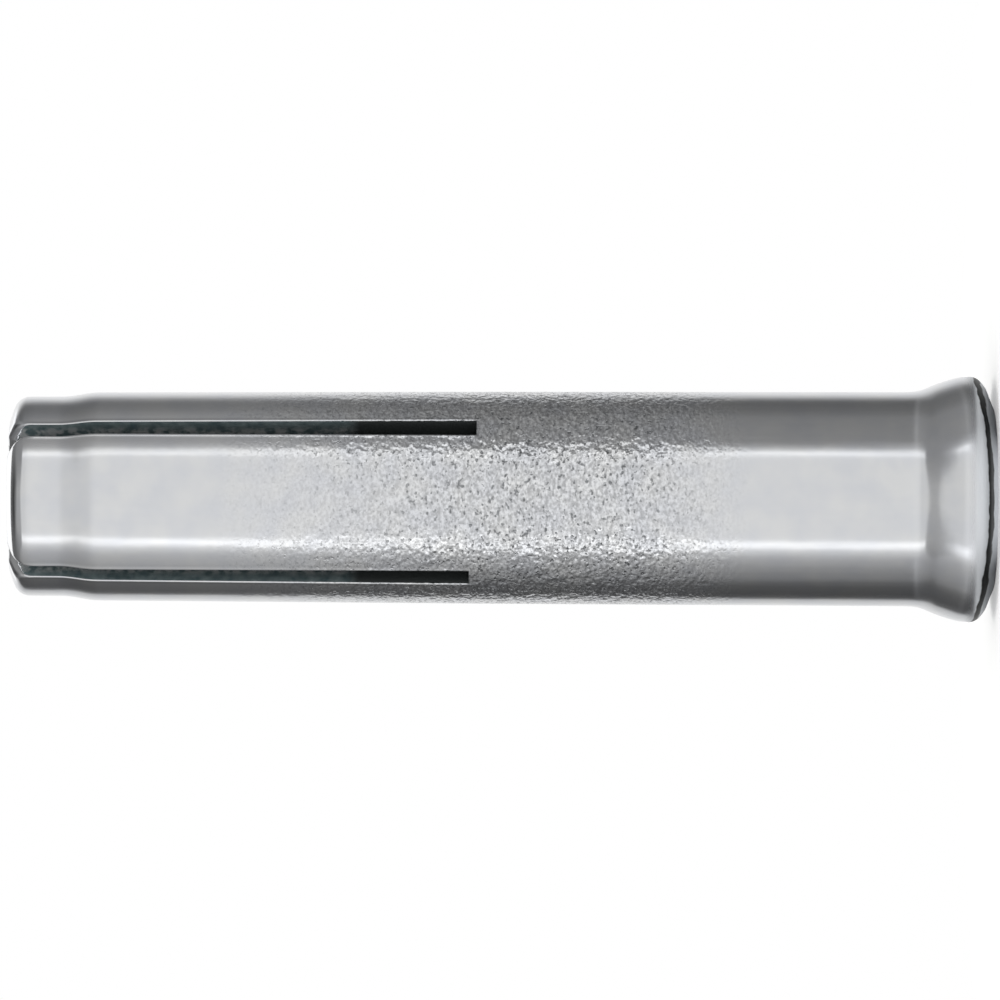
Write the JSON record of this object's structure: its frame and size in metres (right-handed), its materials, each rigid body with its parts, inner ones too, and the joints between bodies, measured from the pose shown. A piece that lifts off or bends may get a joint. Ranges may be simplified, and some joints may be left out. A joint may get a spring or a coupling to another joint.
{
  "type": "drop in anchor",
  "caption": "Round steel drop-in anchor: a tapered-bore sleeve with a flared rim, a threaded mouth and a saw-slotted front end, and a conical setting plug inside.",
  "frame": {"origin": "centre of the rim's end face, the end a bolt goes in at", "axes": "+Z along the bore from the flared rim to the slotted front end; the four saw slots lie in two planes through Z, turned about 49 degrees and 41 degrees from X"},
  "size_m": [0.0116, 0.0116, 0.0464],
  "materials": {
    "bright_zinc_plated_steel": "bright zinc plating on cold-formed steel, fine pits at mid length, satin gloss",
    "cold_headed_steel": "bare cold-headed steel, lightly oiled"
  },
  "bodies": {
    "root": {"expansion_sleeve": "bright_zinc_plated_steel", "expansion_plug": "cold_headed_steel"}
  },
  "joints": []
}
